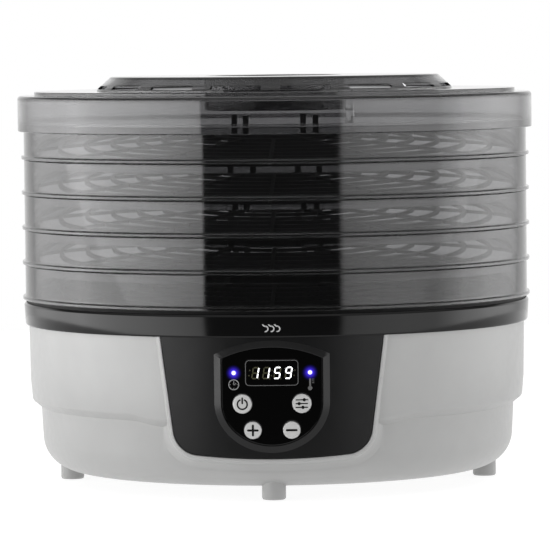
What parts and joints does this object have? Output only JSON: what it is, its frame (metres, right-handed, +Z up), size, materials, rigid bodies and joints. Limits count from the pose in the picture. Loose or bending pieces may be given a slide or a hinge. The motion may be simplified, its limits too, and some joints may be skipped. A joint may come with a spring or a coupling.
{
  "type": "food dehydrator",
  "caption": "Round food dehydrator with a stack of nesting see-through trays, a vented lid and a heated fan base with a push-button panel.",
  "frame": {"origin": "centre of the footprint, on the surface that the feet stand on", "axes": "+Z up, -Y towards the control panel, +X to the panel's right as seen from the front"},
  "size_m": [0.33, 0.33, 0.2591],
  "materials": {
    "light_grey_plastic": "satin",
    "smoke_plastic": "polished, see-through",
    "band_plastic": "gloss",
    "deck_plastic": "fine grain",
    "charcoal_plastic": "satin",
    "bezel_plastic": "satin",
    "overlay_black": "high gloss",
    "display_lens": "polished",
    "key_plastic": "satin",
    "lamp_blue": "clear",
    "dark_moulding": "moulded",
    "board_green": "lacquered",
    "ribbon_grey": "plain",
    "lead_insulation": "plain",
    "winding_tape": "plain",
    "relay_blue": "plain",
    "steel": "plain",
    "bronze": "plain",
    "mica": "layered",
    "heating_wire": "oxidised",
    "ceramic": "plain",
    "rubber_black": "plain"
  },
  "bodies": {
    "base_unit": {"base_housing": "light_grey_plastic", "trim_band": "band_plastic", "chamber_deck": "deck_plastic", "outlet_guard": "deck_plastic", "foot_front": "light_grey_plastic", "foot_right": "light_grey_plastic", "foot_back": "light_grey_plastic", "foot_left": "light_grey_plastic", "housing_screws": "steel", "cord_gland": "rubber_black", "mains_leads": "lead_insulation", "control_fascia": "charcoal_plastic", "bezel_ring": "bezel_plastic", "control_overlay": "overlay_black", "display_window": "display_lens", "display_module": "dark_moulding", "status_leds": "lamp_blue", "tact_switches": "dark_moulding", "control_board": "board_green", "control_board_screws": "steel", "ribbon_cable": "ribbon_grey", "power_board": "board_green", "transformer": "winding_tape", "relay": "relay_blue", "filter_capacitor": "dark_moulding", "terminal_block": "board_green", "power_board_screws": "steel", "fan_duct": "dark_moulding", "duct_screws": "steel", "motor_mount": "dark_moulding", "motor_mount_screws": "steel", "motor": "steel", "motor_bearings": "bronze", "motor_screws": "steel", "heater_frame": "mica", "heater_coil": "heating_wire", "thermal_cutout": "ceramic", "air_sensor": "dark_moulding"},
    "fan": {"motor_shaft": "steel", "fan_rotor": "dark_moulding"},
    "power_key": {"button_power": "key_plastic"},
    "menu_key": {"button_menu": "key_plastic"},
    "minus_key": {"button_minus": "key_plastic"},
    "plus_key": {"button_plus": "key_plastic"},
    "tray_1_body": {"tray_1": "smoke_plastic"},
    "tray_2_body": {"tray_2": "smoke_plastic"},
    "tray_3_body": {"tray_3": "smoke_plastic"},
    "tray_4_body": {"tray_4": "smoke_plastic"},
    "tray_5_body": {"tray_5": "smoke_plastic"},
    "lid": {"lid_shell": "smoke_plastic", "lid_crown": "smoke_plastic"}
  },
  "joints": [
    {"name": "fan_spin", "type": "hinge", "parent": "base_unit", "child": "fan", "pos_m": [0, 0, 0.06], "axis": [0, 0, 1], "continuous": true},
    {"name": "power_press", "type": "slide", "parent": "base_unit", "child": "power_key", "axis": [0, 1, 0], "range_m": [0, 0.0008], "stiffness_N_per_m": 1500},
    {"name": "menu_press", "type": "slide", "parent": "base_unit", "child": "menu_key", "axis": [0, 1, 0], "range_m": [0, 0.0008], "stiffness_N_per_m": 1500},
    {"name": "minus_press", "type": "slide", "parent": "base_unit", "child": "minus_key", "axis": [0, 1, 0], "range_m": [0, 0.0008], "stiffness_N_per_m": 1500},
    {"name": "plus_press", "type": "slide", "parent": "base_unit", "child": "plus_key", "axis": [0, 1, 0], "range_m": [0, 0.0008], "stiffness_N_per_m": 1500},
    {"name": "tray_1_lift", "type": "slide", "parent": "base_unit", "child": "tray_1_body", "axis": [0, 0, 1], "range_m": [0, 0.05]},
    {"name": "tray_2_lift", "type": "slide", "parent": "tray_1_body", "child": "tray_2_body", "axis": [0, 0, 1], "range_m": [0, 0.05]},
    {"name": "tray_3_lift", "type": "slide", "parent": "tray_2_body", "child": "tray_3_body", "axis": [0, 0, 1], "range_m": [0, 0.05]},
    {"name": "tray_4_lift", "type": "slide", "parent": "tray_3_body", "child": "tray_4_body", "axis": [0, 0, 1], "range_m": [0, 0.05]},
    {"name": "tray_5_lift", "type": "slide", "parent": "tray_4_body", "child": "tray_5_body", "axis": [0, 0, 1], "range_m": [0, 0.05]},
    {"name": "lid_lift", "type": "slide", "parent": "tray_5_body", "child": "lid", "axis": [0, 0, 1], "range_m": [0, 0.06]}
  ]
}
